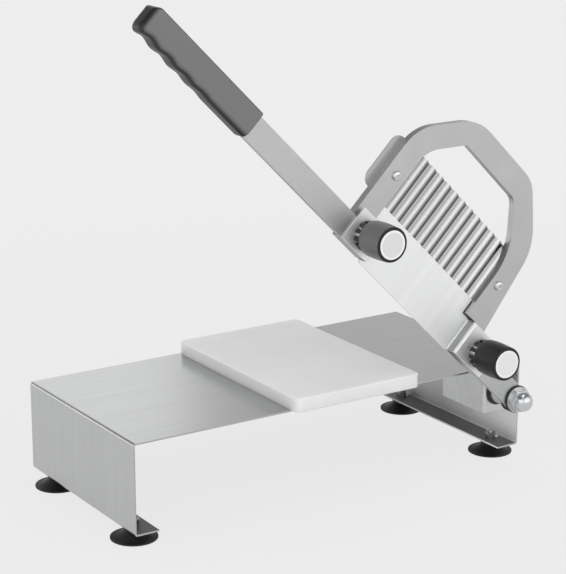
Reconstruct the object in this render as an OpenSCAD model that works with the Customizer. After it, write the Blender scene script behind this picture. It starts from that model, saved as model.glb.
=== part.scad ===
// Hand slicer for potatoes: a lever carries a wavy blade in a bow frame down past a plastic cutting board.
// X runs along the bench, the lever swings in front of the bench (towards -Y), and Z is up from the table.
// The origin is on the table, under the middle of the whole slicer as it rests.

/* [Bench] */
// Length of the bench, outside the legs
bench_l = 397; // [360:1:480]
// Depth of the bench, front to back
bench_d = 186; // [150:1:240]
// Height of the bench, from under its flanges to its top
bench_h = 80; // [74:1:100]
// Thickness of the bench sheet
sheet_t = 1.5; // [1:0.1:2.5]
// Inside radius of the sheet's bends
bend_r = 1; // [0.5:0.1:2]
// Width of the inward flange under each leg
flange_w = 22.5; // [20:0.5:30]

/* [Cutting board] */
// Width of the board, along the bench
board_w = 128; // [100:1:150]
// Thickness of the board
board_t = 12; // [8:0.5:16]
// Distance from the pivot to the board
board_from_pivot = 94; // [90:1:110]
// Overhang of the board past the bench's front edge
board_over = 10; // [8:0.5:14]
// Corner radius of the board
board_r = 6; // [3:0.5:12]
// Chamfer on the board's long edges
board_edge = 0.8; // [0.3:0.1:1.5]
// Diameter of the board screws
board_screw_d = 4; // [3:0.5:5]

/* [Suction feet] */
// Diameter of a suction cup at the table
cup_d = 40; // [30:1:48]
// Height of a suction cup, which lifts the bench off the table
cup_h = 11; // [9:0.5:16]
// Diameter of a cup's neck
cup_neck_d = 15; // [12:0.5:20]
// Distance from the bench's ends to the middle of a cup
cup_end = 12; // [11:0.5:16]
// Distance from the bench's front and back edges to the middle of a cup
cup_side = 24; // [18:1:40]
// Diameter of the stud moulded into each cup
foot_stud_d = 5; // [4:0.5:6]

/* [Pivot] */
// Distance from the bench's right end to the pivot
pivot_in = 25; // [24:0.5:32]
// Height of the pivot above the underside of the flanges
pivot_h = 56; // [52:0.5:58]
// Diameter of the pivot bolt
bolt_d = 12; // [10:0.5:14.5]
// Clearance between the pivot bolt's head and the bends of the bracket
head_clear = 0.2; // [0.1:0.1:4]
// Depth of the pivot bracket
bracket_d = 60; // [40:1:80]
// Height of the pivot bracket, under the bench top
bracket_h = 41.5; // [38:0.5:44]
// Thickness of the bracket plate
bracket_t = 3; // [2:0.5:4]
// Wall of the spacer tube between the bracket and the lever
spacer_wall = 4; // [2:0.5:5]
// Diameter of the washers on the pivot bolt
washer_d = 25; // [23:0.5:28]
// Thickness of each washer
washer_t = 1.5; // [1:0.1:2]
// Wall of the bush pressed into the lever
bush_wall = 1.5; // [1:0.1:2]

/* [Lever] */
// Angle of the lever above the table, at rest
lever_angle = 45; // [20:1:80]
// Width of the flat bars
bar_w = 22; // [20:0.5:27]
// Thickness of the flat bars
bar_t = 5; // [4:0.5:7]
// Distance from the pivot to the grip
grip_at = 392; // [330:1:440]
// Length of the grip
grip_l = 130; // [110:1:180]
// Thickness of the grip, front to back
grip_t = 20; // [14:0.5:26]
// Height of the grip above and below the bar
grip_wall = 1.3; // [1:0.1:5]
// Rounding of the grip's upper long edges
grip_top_r = 1.8; // [1:0.1:4]
// Rounding of the grip's lower long edges
grip_low_r = 5.5; // [3:0.1:7]
// Number of finger hollows under the grip
fingers = 4; // [2:1:4]
// Length of one finger hollow
finger_l = 21; // [16:0.5:23]
// Depth of the deepest finger hollow
finger_depth = 2.2; // [0.5:0.1:2.5]
// Narrowing of the bar's tang inside the grip, on each edge
tang_in = 2.5; // [2:0.1:4]

/* [Bow] */
// Thickness of the bow
bow_t = 7; // [5:0.5:8]
// Distance from the pivot to the bow's outer side, towards the grip
bow_far = 259.3; // [250:0.1:300]
// Distance from the pivot to the bow's outer side, towards the pivot, on the lever's centre line
bow_near = 68.8; // [66:0.1:74]
// Height of the bow above the lever's centre line
bow_h = 148.4; // [140:0.1:180]
// Width of the bow's top
bow_band = 23.4; // [18:0.1:28]
// Width of the bow's far leg
bow_band_far = 21.5; // [19:0.5:26]
// Width of the bow's near leg, on the lever's centre line
bow_band_near = 30.4; // [27:0.1:33]
// Lean of the near leg's outer side
bow_lean = 7.4; // [4:0.1:12]
// Length and height of the slant at the bow's far corner, outside
bow_slant = 45.5; // [30:0.5:55]
// Height of the slant at the bow's near corner, outside
bow_near_slant = 40.5; // [25:0.5:50]
// Length and height of the slant at the window's far corner
window_slant = 30; // [15:0.5:40]
// Height of the slant at the window's near corner
window_near_slant = 36.8; // [20:0.1:45]
// Radius of the bends at both ends of the far slant
bow_far_r = 44; // [20:1:50]
// Radius of the near leg's outer bend
bow_near_r = 50; // [30:1:60]
// Radius of the near leg's inner bend
window_near_r = 62; // [20:1:70]
// Radius of the far leg's inner bend
window_far_r = 32; // [10:1:36]

/* [Blade] */
// Thickness of the blade
blade_t = 0.8; // [0.6:0.1:1.2]
// Depth of the blade's waves, over both faces
wave_h = 3.8; // [2.5:0.1:4.6]
// Length of one wave
wave_l = 11.5; // [8:0.5:11.5]
// Number of waves
waves = 12; // [8:1:12]
// Height of the blade's back above the lever's centre line
blade_top = 92.5; // [80:0.5:105]
// Rise of the cutting edge above the bars' lower edge
blade_rise = 1.5; // [0:0.5:4]
// Height of the ground edge
grind_h = 3.5; // [2:0.5:6]
// Thickness left at the ground edge
edge_t = 0.12; // [0.05:0.01:0.3]
// Running gap between the blade and the board
blade_gap = 0.8; // [0.4:0.1:2]
// Diameter of the blade screws
blade_screw_d = 5; // [4:0.5:6]

/* [Thickness plate] */
// Thickness of the plate
plate_t = 1.5; // [1:0.1:2]
// Least slice, between the plate and the blade
slice_min = 1; // [0.5:0.1:3]
// Travel of the plate, which is the range of slices
plate_travel = 10; // [6:0.5:12]
// Length of the tab towards the grip
tab_far_l = 34; // [32:0.5:36]
// Length of the tab towards the pivot
tab_near_l = 38; // [34:0.5:40]
// Rise of the tabs above the bars
tab_rise = 10; // [8:0.5:12]
// Rise of the dished middle above the tabs
dish_rise = 15.5; // [8:0.5:24]
// Drop of the dished middle below the bars
dish_drop = 1.7; // [0:0.1:3]

/* [Knobs] */
// Diameter of a knob at its widest
knob_d = 31.4; // [28:0.2:34]
// Diameter of a knob at its face
knob_face_d = 29.6; // [26:0.2:32]
// Length of a knob, with its crown
knob_l = 36; // [30:0.5:42]
// Diameter of the slotted crown at a knob's base
crown_d = 26; // [24:0.5:28]
// Length of the crown
crown_l = 7.5; // [5:0.5:10]
// Number of slots in the crown
slots = 12; // [8:1:16]
// Diameter of the metal sleeve inside the crown
sleeve_d = 21; // [18:0.5:22]
// Diameter of the silver disc in a knob's face
disc_d = 24.4; // [18:0.2:26]
// Diameter of a knob's threaded stud
stud_d = 8; // [6:0.5:8]

/* [Hidden] */
$fn = 64;

// Overrun of a cut, gap of a seated fit and radial gap of a running fit
over = 1;
seat_gap = 0.05;
run_gap = 0.06;
// Degrees in one step of a rounded corner, and steps in a bend, in an edge rounding and in one wave
arc_step = 5;
bend_steps = 5;
round_steps = 4;
wave_steps = 12;
// Rise of a button head and of a chamfer, as shares of a diameter, and widths of nuts and heads likewise
head_rise_share = 0.55;
nut_af_share = 1.58;
nut_h_share = 0.8;
head_d_share = 1.75;
corner_share = 2 / sqrt(3);

// What stands out past the bench's ends and front edge, and the bench's middle, moved back by half of it
bar_half = bar_w / 2;
grip_reach = (grip_at + grip_l) * cos(lever_angle) + (bar_half + grip_wall) * sin(lever_angle);
cup_reach = cup_d / 2 - cup_end;
left_reach = max(grip_reach - (bench_l - pivot_in), cup_reach);
front_reach = board_over + blade_gap + wave_h + bow_t + bar_t + plate_t + knob_l;
mid_x = (left_reach - cup_reach) / 2;
mid_y = front_reach / 2;

// Ends, edges and heights of the bench
left_x = mid_x - bench_l / 2;
right_x = mid_x + bench_l / 2;
front_y = mid_y - bench_d / 2;
back_y = mid_y + bench_d / 2;
top_z = cup_h + bench_h;

// Pivot, and the board placed from it
pivot_x = right_x - pivot_in;
pivot_z = cup_h + pivot_h;
board_right_x = pivot_x - board_from_pivot;
board_left_x = board_right_x - board_w;
board_front_y = front_y - board_over;
board_screw_in = 18;
board_screw_l = 9;
board_screw_at = [for (x = [board_left_x + board_screw_in, board_right_x - board_screw_in])
    for (y = [front_y + board_screw_in, back_y - board_screw_in]) [x, y]];

// Feet
foot_x = [left_x + cup_end, right_x - cup_end];
foot_y = [front_y + cup_side, back_y - cup_side];
foot_at = [for (x = foot_x) for (y = foot_y) [x, y]];
cup_lip = 1.2;
cup_lip_w = 1.6;
cup_hollow = 3.4;
cup_shoulder = 7;
cup_steps = 8;
cup_bead = 1.2;
foot_stud_in = 5;
foot_stud_tip = 1.6;
foot_nut_h = 6;
foot_nut_af = foot_stud_d * nut_af_share;
rivet_room = cup_end - foot_nut_af / 2 - sheet_t - bend_r;
rivet_d = rivet_room * 0.9;
rivet_h = rivet_d * 0.4;
rivet_end = sheet_t + bend_r + rivet_room / 2;

// Pivot bracket, under the bench top and just wide enough for the bolt's head
nut_af = bolt_d * nut_af_share;
bolt_head_h = bolt_d * head_rise_share;
bracket_w = nut_af * corner_share + 2 * (head_clear + bend_r + bracket_t);
bracket_left_x = pivot_x - bracket_w / 2;
bracket_right_x = pivot_x + bracket_w / 2;
bracket_z = top_z - sheet_t - bracket_h;

// Layers of the lever, measured outwards from the bench's front edge
blade_back = board_over + blade_gap;
blade_front = blade_back + wave_h;
bow_front = blade_front + bow_t;
bar_front = bow_front + bar_t;
tab_back = bar_front + run_gap;
tab_front = tab_back + plate_t;
dish_back = blade_front + slice_min;
knob_back = tab_front + run_gap;

// Stack on the pivot bolt, outwards
bolt_hole_d = bolt_d + 2 * run_gap;
spacer_d = bolt_hole_d + 2 * spacer_wall;
bush_d = bolt_hole_d + 2 * bush_wall;
inner_washer_at = bow_front - run_gap - washer_t;
outer_washer_at = bar_front + run_gap;
steel_washer_at = outer_washer_at + washer_t;
dome_nut_at = steel_washer_at + washer_t;
dome_nut_h = bolt_d / 2;
dome_d = nut_af * 0.92;
dome_h = dome_d / 2;
bolt_tip = dome_nut_at + dome_nut_h + washer_t;

// Places along the lever, from the pivot towards the grip, and heights above its centre line
tab_top = bar_half + tab_rise;
dish_top = tab_top + dish_rise;
side_gap = 2;
foot_top = tab_top - side_gap;
leg_low = tab_top + side_gap / 2;
tab_end = bow_far - side_gap / 2;
dish_far = tab_end - tab_far_l;
bow_foot_far = dish_far + side_gap;
bow_foot_near = bow_near + bow_band_near * 0.6;
dish_near = bow_foot_near + side_gap;
tab_start = dish_near - tab_near_l;
near_band_s = bow_near + bow_band_near;
far_band_s = bow_far - bow_band_far;
strip_far = far_band_s - side_gap;
strip_near = near_band_s + side_gap / 2;
upper_knob_s = dish_far + tab_far_l * 0.45;
lower_knob_s = tab_start + tab_near_l * 0.39;
knob_n = (tab_top - bar_half) / 2;

// Lengths of the bow's near slants, outside and in the window, as shares of their heights
slant_share = 1.11;
window_share = 0.89;

// Grip: roundings at its tip and mouth, steps along it, distance from the tip to the first finger
// hollow, and the share of the grip's length that the bar's tang fills
end_r = 6;
mouth_r = 1.5;
grip_steps = 44;
finger_start = 3.5;
bar_in_share = 0.88;
tang_half = bar_half - tang_in;

// Blade
wave_far = far_band_s;
wave_near = wave_far - waves * wave_l;
blade_low = -bar_half + blade_rise;
screw_in = 7;
screw_n = 61;
far_screw = [bow_far - bow_band_far * 0.56, screw_n];
near_outer = bow_near + screw_n * tan(bow_lean);
near_screw = [near_outer + (near_band_s - near_outer) * 0.56, screw_n];
blade_near = near_screw[0] - screw_in;
blade_far = bow_far - screw_in;
ear_far = bow_far + 9;
ear_low = 39;
ear_top = blade_top - side_gap;
ear_r = 9;
blade_screw_at = [far_screw, near_screw];
blade_nut_h = blade_screw_d * nut_h_share;

// Threaded inserts in the lever, and the knobs' studs and rings
insert_wall = 1.5;
insert_d = stud_d + 2 * insert_wall;
ring_t = 1;
ring_d = insert_d - ring_t;
ring_gap = 0.2;
insert_front = bar_front - ring_t - 2 * ring_gap;
groove_depth = 0.6;
stud_grip = 7.4;
stud_tip = insert_front - stud_grip - plate_travel;
stud_in = 16;
stud_clear = 0.5;
knob_at = [[upper_knob_s, knob_n], [lower_knob_s, knob_n]];
slot_w_share = 0.45;
disc_t = 1.2;
disc_proud = 0.3;
knob_edge = 1.2;
shoulder_r = 3;
barrel_steps = 6;

// Colours of bare steel, bright steel, the white board, black plastic and black rubber
steel = [0.74, 0.75, 0.76];
bright = [0.86, 0.87, 0.88];
white = [0.9, 0.91, 0.9];
black = [0.12, 0.12, 0.13];
rubber = [0.07, 0.07, 0.08];

function unit(v) = v / norm(v);

// Points of one face of a bent sheet at corner b of the line a-b-c, at distance k to the line's left
function bend(a, b, c, k, t, r) =
    let (u = unit(b - a), v = unit(c - b), turn = cross(u, v), side = sign(turn),
        line_r = side > 0 ? r + t : r,
        centre = b + line_r * (v - u) / abs(turn),
        face_r = line_r - side * k,
        start = atan2(u[1], u[0]) - side * 90,
        sweep = side * acos(u * v))
    [for (i = [0 : bend_steps]) centre + face_r * [cos(start + sweep * i / bend_steps),
        sin(start + sweep * i / bend_steps)]];

// Points of one whole face of a bent sheet, at distance k to the left of the line through points p
function bent_face(p, k, t, r) =
    let (n = len(p) - 1, u = unit(p[1] - p[0]), v = unit(p[n] - p[n - 1]))
    concat([p[0] + k * [-u[1], u[0]]],
        [for (i = [1 : n - 1]) each bend(p[i - 1], p[i], p[i + 1], k, t, r)],
        [p[n] + k * [-v[1], v[0]]]);

// Points of a closed outline whose corners are rounded: each point is its place and its radius
function rounded(p) = let (n = len(p))
    [for (i = [0 : n - 1]) each fillet(p[(i + n - 1) % n], p[i], p[(i + 1) % n])];

function fillet(a, b, c) =
    let (at = [b[0], b[1]], u = unit(at - [a[0], a[1]]), v = unit([c[0], c[1]] - at), turn = cross(u, v),
        side = sign(turn), sweep = acos(u * v), steps = ceil(sweep / arc_step),
        centre = at + b[2] * (v - u) / abs(turn), start = atan2(u[1], u[0]) - side * 90)
    b[2] == 0 ? [at] : [for (i = [0 : steps]) centre + b[2] * [cos(start + side * sweep * i / steps),
        sin(start + side * sweep * i / steps)]];

function reversed(p) = [for (i = [len(p) - 1 : -1 : 0]) p[i]];

// Outline of a bent sheet: thickness t to the left of the line through points p, inside bend radius r
function bent_sheet(p, t, r) = concat(bent_face(p, 0, t, r), reversed(bent_face(p, t, t, r)));

// Closed solid through rings of points, each with as many points and seen the same way round
module loft(rings) {
    m = len(rings[0]);
    n = len(rings);
    sides = [for (i = [0 : n - 2]) for (j = [0 : m - 1])
        let (a = i * m + j, b = i * m + (j + 1) % m, c = a + m, d = b + m)
        each [[a, d, b], [a, c, d]]];
    first = [for (j = [0 : m - 1]) j];
    last = [for (j = [m - 1 : -1 : 0]) (n - 1) * m + j];
    polyhedron(points = [for (ring = rings) each ring], faces = concat([first], sides, [last]));
}

// Lever's own frame: x from the pivot towards the grip, y outwards from the bench's front edge, z across
module on_lever() {
    translate([pivot_x, front_y, pivot_z])
        rotate([0, lever_angle, 0])
            rotate([0, 0, 180])
                children();
}

// Flat plate of the lever: an outline drawn along and across the lever, from one layer outwards
module layer(back, front) {
    translate([0, front, 0])
        rotate([90, 0, 0])
            linear_extrude(front - back)
                children();
}

// Round piece of the lever, at a place along and across it, whose own axis points outwards
module outward(at, back) {
    translate([at[0], back, at[1]])
        rotate([-90, 0, 0])
            children();
}

// Round piece on the pivot, whose own axis points outwards from the bench's front edge
module on_pivot(out) {
    translate([pivot_x, front_y - out, pivot_z])
        rotate([90, 0, 0])
            children();
}

module ring(d, bore, h) {
    difference() {
        cylinder(d = d, h = h);
        translate([0, 0, -over])
            cylinder(d = bore, h = h + 2 * over);
    }
}

// Hexagonal prism with both ends chamfered, and a bore
module hex_nut(af, bore, h) {
    corner_r = af * corner_share / 2;
    chamfer = (corner_r - af / 2) / 2;
    difference() {
        intersection() {
            cylinder(r = corner_r, h = h, $fn = 6);
            rotate_extrude()
                polygon([[0, 0], [af / 2, 0], [corner_r, chamfer], [corner_r, h - chamfer],
                    [af / 2, h], [0, h]]);
        }
        translate([0, 0, -over])
            cylinder(d = bore, h = h + 2 * over);
    }
}

// Points of a dome of radius r between heights z0 and z1, from its rim to its top
function dome(r, z0, z1) = [for (i = [0 : 2 * round_steps]) let (a = 90 * i / (2 * round_steps))
    [r * cos(a), z0 + (z1 - z0) * sin(a)]];

// Screw with a low domed head, a hexagonal socket in it and its shank below
module button_screw(shank_d, shank_l) {
    head_r = shank_d * head_d_share / 2;
    head_h = shank_d * head_rise_share;
    difference() {
        rotate_extrude()
            polygon(concat([[0, -shank_l], [shank_d / 2, -shank_l], [shank_d / 2, 0], [head_r, 0]],
                dome(head_r, head_h / 3, head_h)));
        translate([0, 0, head_h / 2])
            cylinder(d = head_h * corner_share, h = head_h, $fn = 6);
    }
}

module rounded_square(size, r) {
    translate([r, 0])
        square([size[0] - 2 * r, size[1]]);
    translate([0, r])
        square([size[0], size[1] - 2 * r]);
    for (x = [r, size[0] - r])
        for (y = [r, size[1] - r])
            translate([x, y])
                circle(r = r);
}

// Bench: one folded sheet with two legs and two inward flanges
module bench_sheet() {
    path = [[right_x - flange_w, cup_h], [right_x, cup_h], [right_x, top_z],
        [left_x, top_z], [left_x, cup_h], [left_x + flange_w, cup_h]];
    color(steel)
        difference() {
            translate([0, back_y, 0])
                rotate([90, 0, 0])
                    linear_extrude(bench_d)
                        polygon(bent_sheet(path, sheet_t, bend_r));
            for (p = foot_at)
                translate([p[0], p[1], cup_h - over])
                    cylinder(d = foot_stud_d + 2 * seat_gap, h = sheet_t + 2 * over);
            for (p = board_screw_at)
                translate([p[0], p[1], top_z - sheet_t - over])
                    cylinder(d = board_screw_d + 2 * seat_gap, h = sheet_t + 2 * over);
        }
}

// Board: rounded at its four corners, with its long edges chamfered, and blind screw holes underneath
module cutting_board() {
    board_d = bench_d + board_over;
    color(white)
        difference() {
            intersection() {
                translate([board_left_x, board_front_y, top_z])
                    linear_extrude(board_t)
                        rounded_square([board_w, board_d], board_r);
                translate([board_left_x, board_front_y + board_d, top_z])
                    rotate([90, 0, 0])
                        linear_extrude(board_d)
                            board_section(board_w);
                translate([board_left_x, board_front_y, top_z])
                    rotate([90, 0, 90])
                        linear_extrude(board_w)
                            board_section(board_d);
            }
            for (p = board_screw_at)
                translate([p[0], p[1], top_z - over])
                    cylinder(d = board_screw_d, h = board_screw_l - sheet_t + over);
        }
}

module board_section(w) {
    polygon([[0, 0], [w, 0], [w, board_t - board_edge], [w - board_edge, board_t],
        [board_edge, board_t], [0, board_t - board_edge]]);
}

// Screws that hold the board, with their heads under the bench top
module board_screws() {
    color(bright)
        for (p = board_screw_at)
            translate([p[0], p[1], top_z - sheet_t])
                mirror([0, 0, 1])
                    button_screw(board_screw_d, board_screw_l);
}

// Suction cup: a thin bell with a lip, a hollow underside and a beaded neck
module foot(x, y) {
    lip_r = cup_d / 2;
    neck_r = cup_neck_d / 2;
    inner_r = lip_r - cup_lip_w;
    bell = [for (i = [0 : cup_steps]) let (t = i / cup_steps)
        [lip_r + (neck_r - lip_r) * t, cup_lip + (cup_shoulder - cup_lip) * t * t]];
    hollow = [for (i = [0 : cup_steps]) let (t = i / cup_steps)
        [inner_r * t, cup_hollow * (1 - t * t)]];
    color(rubber)
        translate([x, y, 0])
            difference() {
                union() {
                    rotate_extrude()
                        polygon(concat(hollow, [[lip_r, 0]], bell, [[neck_r, cup_h], [0, cup_h]]));
                    translate([0, 0, cup_h - 2 * cup_bead])
                        cylinder(r = neck_r + cup_bead, h = cup_bead);
                }
                translate([0, 0, cup_h - foot_stud_in])
                    cylinder(d = foot_stud_d, h = foot_stud_in + over);
            }
}

module foot_front_left() {
    foot(foot_x[0], foot_y[0]);
}

module foot_front_right() {
    foot(foot_x[1], foot_y[0]);
}

module foot_rear_left() {
    foot(foot_x[0], foot_y[1]);
}

module foot_rear_right() {
    foot(foot_x[1], foot_y[1]);
}

// Studs moulded into the cups, with a pointed end above the nut
module foot_studs() {
    rise = sheet_t + foot_nut_h + foot_stud_tip;
    color(bright)
        for (p = foot_at)
            translate([p[0], p[1], cup_h - foot_stud_in])
                rotate_extrude()
                    polygon([[0, 0], [foot_stud_d / 2, 0], [foot_stud_d / 2, foot_stud_in + rise - foot_stud_tip / 2],
                        [foot_stud_d / 2 - foot_stud_tip / 2, foot_stud_in + rise], [0, foot_stud_in + rise]]);
}

module foot_nuts() {
    color(bright)
        for (p = foot_at)
            translate([p[0], p[1], cup_h + sheet_t])
                rotate([0, 0, 30])
                    hex_nut(foot_nut_af, foot_stud_d + 2 * seat_gap, foot_nut_h);
}

// Domed rivet beside each foot nut, near the leg
module flange_rivets() {
    color(bright)
        for (x = [left_x + rivet_end, right_x - rivet_end])
            for (y = foot_y)
                translate([x, y, cup_h + sheet_t])
                    rotate_extrude()
                        polygon(concat([[0, 0]], dome(rivet_d / 2, 0, rivet_h)));
}

// Bracket: a plate folded round the pivot, open to the back, welded under the bench top
module pivot_bracket() {
    path = [[bracket_left_x, front_y + bracket_d], [bracket_left_x, front_y],
        [bracket_right_x, front_y], [bracket_right_x, front_y + bracket_d]];
    color(steel)
        difference() {
            translate([0, 0, bracket_z])
                linear_extrude(bracket_h)
                    polygon(bent_sheet(path, bracket_t, bend_r));
            on_pivot(-bracket_t - over)
                cylinder(d = bolt_d + 2 * seat_gap, h = bracket_t + 2 * over);
        }
}

// Bolt, with its head behind the bracket plate
module pivot_bolt() {
    color(bright) {
        on_pivot(-bracket_t)
            cylinder(d = bolt_d, h = bracket_t + bolt_tip);
        on_pivot(-bracket_t - bolt_head_h)
            intersection() {
                cylinder(d = nut_af * corner_share, h = bolt_head_h, $fn = 6);
                cylinder(d1 = nut_af, d2 = nut_af + 4 * bolt_head_h, h = bolt_head_h);
            }
    }
}

module spacer_washer() {
    color(rubber)
        on_pivot(0)
            ring(washer_d, bolt_d + 2 * seat_gap, washer_t);
}

module pivot_spacer() {
    color(steel)
        on_pivot(washer_t)
            ring(spacer_d, bolt_d + 2 * seat_gap, inner_washer_at - washer_t);
}

module inner_friction_washer() {
    color(black)
        on_pivot(inner_washer_at)
            ring(washer_d, bolt_d + 2 * seat_gap, washer_t);
}

module outer_friction_washer() {
    color(black)
        on_pivot(outer_washer_at)
            ring(washer_d, bolt_d + 2 * seat_gap, washer_t);
}

module steel_washer() {
    color(bright)
        on_pivot(steel_washer_at)
            ring(washer_d - washer_t, bolt_d + 2 * seat_gap, washer_t);
}

// Nut with a domed cap over the end of the bolt
module dome_nut() {
    rim = dome_nut_h + washer_t;
    color(bright)
        on_pivot(dome_nut_at)
            difference() {
                union() {
                    hex_nut(nut_af, bolt_d, dome_nut_h);
                    rotate_extrude()
                        polygon(concat([[0, washer_t], [dome_d / 2, washer_t]],
                            dome(dome_d / 2, rim, dome_nut_h + dome_h)));
                }
                translate([0, 0, -over])
                    cylinder(d = bolt_d + 2 * seat_gap, h = bolt_tip - dome_nut_at + over + seat_gap);
            }
}

// Short bar from the pivot to the bow's near foot, with a round end
module pivot_bar() {
    color(steel)
        on_lever()
            difference() {
                layer(bow_front, bar_front) {
                    circle(d = bar_w);
                    translate([0, -bar_half])
                        square([bow_foot_near, bar_w]);
                }
                outward([0, 0], bow_front - over)
                    cylinder(d = bush_d, h = bar_t + 2 * over);
                outward(knob_at[1], bow_front - over)
                    cylinder(d = insert_d, h = bar_t + 2 * over);
            }
}

module pivot_bush() {
    color(bright)
        on_lever()
            outward([0, 0], bow_front)
                ring(bush_d, bolt_hole_d, bar_t);
}

// Long bar from the bow's far foot into the grip
module handle_bar() {
    bar_end = grip_at + grip_l * bar_in_share;
    color(steel)
        on_lever()
            difference() {
                layer(bow_front, bar_front) {
                    translate([bow_foot_far, -bar_half])
                        square([grip_at - bow_foot_far, bar_w]);
                    translate([grip_at - over, -tang_half])
                        square([bar_end - grip_at + over, 2 * tang_half]);
                }
                outward(knob_at[0], bow_front - over)
                    cylinder(d = insert_d, h = bar_t + 2 * over);
            }
}

// Section of the grip from z0 to z1, drawn in by e at its ends, with crisp upper and full lower edges
function grip_ring(s, z0, z1, e) =
    let (top = max(grip_top_r - e / 2, grip_top_r / 3), low = max(grip_low_r - e / 2, grip_low_r / 3),
        y0 = (bow_front + bar_front - grip_t) / 2 + e, y1 = (bow_front + bar_front + grip_t) / 2 - e,
        corners = [[y1 - top, z1 - e - top, 0, top], [y0 + top, z1 - e - top, 90, top],
            [y0 + low, z0 + e + low, 180, low], [y1 - low, z0 + e + low, 270, low]])
    [for (c = corners) for (i = [0 : round_steps]) let (a = c[2] + 90 * i / round_steps)
        [s, c[0] + c[3] * cos(a), c[1] + c[3] * sin(a)]];

// Grip: a moulded sleeve with finger hollows underneath, shallower towards its mouth, and rounded ends
module grip() {
    function draw_in(d, r) = d < r ? r - sqrt(r * r - (r - d) * (r - d)) : 0;
    function hollow(d) = d < finger_start || d > finger_start + fingers * finger_l ? 0 :
        finger_depth * (1 - d / grip_l) * (1 - cos(360 * (d - finger_start) / finger_l)) / 2;
    ends = [for (i = [0 : round_steps]) mouth_r * (1 - cos(90 * i / round_steps))];
    middle = [for (i = [1 : grip_steps]) mouth_r + (grip_l - mouth_r - end_r) * i / (grip_steps + 1)];
    tip = [for (i = [0 : 2 * round_steps]) grip_l - end_r + end_r * sin(45 * i / round_steps)];
    rings = [for (d = concat(ends, middle, tip))
        grip_ring(grip_at + d, -bar_half - grip_wall + hollow(grip_l - d), bar_half + grip_wall,
            max(draw_in(d, mouth_r), draw_in(grip_l - d, end_r)))];
    color(black)
        on_lever()
            difference() {
                loft(rings);
                layer(bow_front - seat_gap, bar_front + seat_gap)
                    translate([grip_at - over, -tang_half - seat_gap])
                        square([grip_l * bar_in_share + over + seat_gap, 2 * (tang_half + seat_gap)]);
            }
}

// Bow: a D-shaped frame, open below between its two feet
module bow_frame() {
    color(steel)
        on_lever()
            difference() {
                layer(blade_front, bow_front)
                    bow_outline();
                for (p = blade_screw_at)
                    outward(p, blade_front - over)
                        cylinder(d = blade_screw_d + 2 * seat_gap, h = bow_t + 2 * over);
                for (p = knob_at)
                    outward(p, blade_front - over)
                        cylinder(d = insert_d, h = bow_t + 2 * over);
            }
}

// Outside of the bow: a leaning near leg, a slant at each upper corner and both feet
module bow_outline() {
    heel = bow_near - bar_half * tan(bow_lean);
    bend_n = bow_h - bow_near_slant;
    bend_s = bow_near + bend_n * tan(bow_lean);
    difference() {
        union() {
            polygon(rounded([[heel, -bar_half, 0], [bow_far, -bar_half, 0],
                [bow_far, bow_h - bow_slant, bow_far_r], [bow_far - bow_slant, bow_h, bow_far_r],
                [bend_s + bow_near_slant * slant_share, bow_h, bow_near_r * 0.6], [bend_s, bend_n, bow_near_r]]));
            translate([tab_start, -bar_half])
                square([bow_foot_near - tab_start, foot_top + bar_half]);
        }
        bow_window();
    }
}

// Everything open in the bow: the window between its legs, and the way below it between the feet
module bow_window() {
    window_h = bow_h - bow_band;
    polygon(rounded([[near_band_s, leg_low, 0], [far_band_s, leg_low, 0],
        [far_band_s, window_h - window_slant, window_far_r], [far_band_s - window_slant, window_h, side_gap],
        [near_band_s + window_near_slant * window_share, window_h, window_near_r / 5],
        [near_band_s, window_h - window_near_slant, window_near_r]]));
    translate([bow_foot_near, -bow_h])
        square([bow_foot_far - bow_foot_near, bow_h + leg_low + over]);
    translate([bow_foot_near + over, foot_top])
        square([far_band_s - bow_foot_near - over, leg_low - foot_top + over]);
}

function wave_mid(s) = blade_front - wave_h / 2 + (wave_h - blade_t) / 2 * cos(360 * (s - wave_near) / wave_l);
function wave_slope(s) = -(wave_h - blade_t) * PI / wave_l * sin(360 * (s - wave_near) / wave_l);

// Points of the blade's face at distance k outwards from its middle, along the waves
function wave_face(k) = [for (i = [0 : waves * wave_steps])
    let (s = wave_near + wave_l * i / wave_steps, m = wave_slope(s))
    [s, wave_mid(s)] + k * [-m, 1] / sqrt(1 + m * m)];

// Blade: a waved sheet with a flat margin at each end, an ear towards the grip, a notch beside the upper
// knob's stud and a ground cutting edge
module wave_blade() {
    front = concat([[blade_near, blade_front]], wave_face(blade_t / 2));
    back = concat([[blade_near, blade_front - blade_t]], wave_face(-blade_t / 2));
    sharp_share = edge_t / blade_t;
    edge_rings = [for (i = [0 : len(front) - 1])
        let (sharp = front[i] + (back[i] - front[i]) * sharp_share)
        [[front[i][0], front[i][1], blade_low], [front[i][0], front[i][1], blade_low + grind_h],
            [back[i][0], back[i][1], blade_low + grind_h], [sharp[0], sharp[1], blade_low]]];
    color(bright)
        on_lever() {
            difference() {
                union() {
                    translate([0, 0, blade_low + grind_h])
                        linear_extrude(blade_top - blade_low - grind_h)
                            polygon(concat(front, reversed(back)));
                    layer(blade_front - blade_t, blade_front)
                        far_margin();
                }
                for (p = blade_screw_at)
                    outward(p, blade_back)
                        cylinder(d = blade_screw_d + 2 * seat_gap, h = wave_h + over);
                outward(knob_at[0], blade_back - over)
                    cylinder(d = stud_d + 2 * stud_clear, h = wave_h + 2 * over);
            }
            loft(edge_rings);
        }
}

// Flat margin and ear of the blade, towards the grip
module far_margin() {
    translate([wave_far, leg_low])
        square([blade_far - wave_far, blade_top - leg_low]);
    translate([blade_far - ear_r * 2, ear_low])
        rounded_square([ear_far - blade_far + ear_r * 2, ear_top - ear_low], ear_r);
}

// Blade screws, with round heads on the bow's front
module blade_screws() {
    color(bright)
        on_lever()
            for (p = blade_screw_at)
                outward(p, bow_front)
                    button_screw(blade_screw_d, bow_t + blade_t + blade_nut_h);
}

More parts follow.
